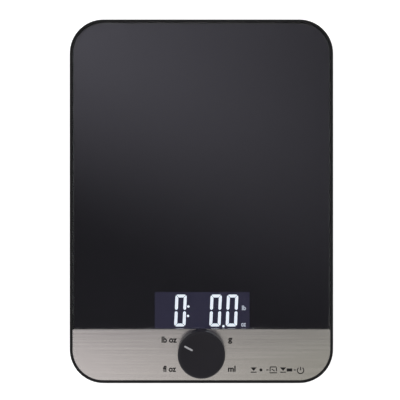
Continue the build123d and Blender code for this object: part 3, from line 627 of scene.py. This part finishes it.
def glow_nodes(name):
    """An emission-only material, its emission node, and a node that gives X and Y on the panel."""
    glow = bpy.data.materials.new(name)
    glow.use_nodes = True
    glow.node_tree.nodes.clear()
    output = add(glow, "ShaderNodeOutputMaterial")
    emission = add(glow, "ShaderNodeEmission")
    link(glow, emission.outputs["Emission"], output.inputs["Surface"])
    split = add(glow, "ShaderNodeSeparateXYZ")
    link(glow, add(glow, "ShaderNodeTexCoord").outputs["Object"], split.inputs["Vector"])
    return glow, emission, split


def rear_glow():
    """Light towards the rear left, dark in front, with a soft slanting edge."""
    glow, emission, split = glow_nodes("rear_glow")
    emission.inputs["Color"].default_value = GLOW_TINT
    slant = add(glow, "ShaderNodeMath", operation="MULTIPLY_ADD")
    slant.inputs[1].default_value = GLOW_SLANT
    edge = add(glow, "ShaderNodeMapRange", interpolation_type="SMOOTHSTEP")
    edge.inputs["From Min"].default_value = GLOW_EDGE_Y - GLOW_EDGE_HALF
    edge.inputs["From Max"].default_value = GLOW_EDGE_Y + GLOW_EDGE_HALF
    fall = add(glow, "ShaderNodeMath", operation="MULTIPLY_ADD")
    fall.inputs[1].default_value = -GLOW_FALL
    fall.inputs[2].default_value = GLOW_BRIGHT
    strength = add(glow, "ShaderNodeMath", operation="MULTIPLY_ADD")
    strength.inputs[2].default_value = GLOW_DIM
    link(glow, split.outputs["X"], slant.inputs[0])
    link(glow, split.outputs["Y"], slant.inputs[2])
    link(glow, slant.outputs["Value"], edge.inputs["Value"])
    link(glow, split.outputs["X"], fall.inputs[0])
    link(glow, edge.outputs["Result"], strength.inputs[0])
    link(glow, fall.outputs["Value"], strength.inputs[1])
    link(glow, strength.outputs["Value"], emission.inputs["Strength"])
    return glow


def front_glow():
    """A bright, faintly pink left shading into a warmer, dimmer right."""
    glow, emission, split = glow_nodes("front_glow")
    spread = add(glow, "ShaderNodeMapRange")
    spread.inputs["From Min"].default_value = -FRONT_SPREAD
    spread.inputs["From Max"].default_value = FRONT_SPREAD
    mix = add(glow, "ShaderNodeMix", data_type="RGBA")
    mix.inputs["A"].default_value = (*FRONT_LEFT_GLOW, 1.0)
    mix.inputs["B"].default_value = (*FRONT_RIGHT_GLOW, 1.0)
    link(glow, split.outputs["X"], spread.inputs["Value"])
    link(glow, spread.outputs["Result"], mix.inputs["Factor"])
    link(glow, mix.outputs["Result"], emission.inputs["Color"])
    emission.inputs["Strength"].default_value = FRONT_STRENGTH
    return glow


def build_panel(name, glow, half_x, low_y, high_y):
    """A panel overhead, sized and placed by the part of the scale's plane that mirrors it."""
    mesh = bpy.data.meshes.new(name)
    corners = [(-half_x, low_y, 0), (half_x, low_y, 0), (half_x, high_y, 0), (-half_x, high_y, 0)]
    mesh.from_pydata(corners, [], [(3, 2, 1, 0)])
    mesh.materials.append(glow)
    panel = bpy.data.objects.new(name, mesh)
    panel.location = (0, 0, PANEL_Z)
    panel.scale = (MIRROR, MIRROR, 1.0)
    panel.visible_camera = False
    bpy.context.scene.collection.objects.link(panel)


def build_lights():
    world = bpy.data.worlds.new("studio")
    bpy.context.scene.world = world
    world.use_nodes = True
    background = world.node_tree.nodes["Background"]
    background.inputs["Color"].default_value = (1.0, 1.0, 1.0, 1.0)
    background.inputs["Strength"].default_value = WORLD_STRENGTH
    light = bpy.data.lights.new("key", "AREA")
    light.energy = KEY_POWER
    light.size = KEY_SIZE
    key = bpy.data.objects.new("key", light)
    key.location = KEY_PLACE
    key.visible_glossy = False
    key.rotation_euler = (-Vector(KEY_PLACE)).to_track_quat("-Z", "Y").to_euler()
    bpy.context.scene.collection.objects.link(key)


def build_camera():
    camera_data = bpy.data.cameras.new("camera")
    camera_data.sensor_width = SENSOR
    camera_data.lens = SENSOR * CAMERA_HEIGHT / SEEN_WIDTH
    camera = bpy.data.objects.new("camera", camera_data)
    camera.location = (CAMERA_X, CAMERA_Y, TOP_Z + CAMERA_HEIGHT)
    bpy.context.scene.collection.objects.link(camera)
    bpy.context.scene.camera = camera


build_floor()
build_panel("rear_panel", rear_glow(), REAR_HALF_X, SPLIT_Y, REAR_END_Y)
build_panel("front_panel", front_glow(), FRONT_HALF_X, FRONT_END_Y, SPLIT_Y)
build_lights()
build_camera()
bpy.context.scene.view_settings.view_transform = "Standard"
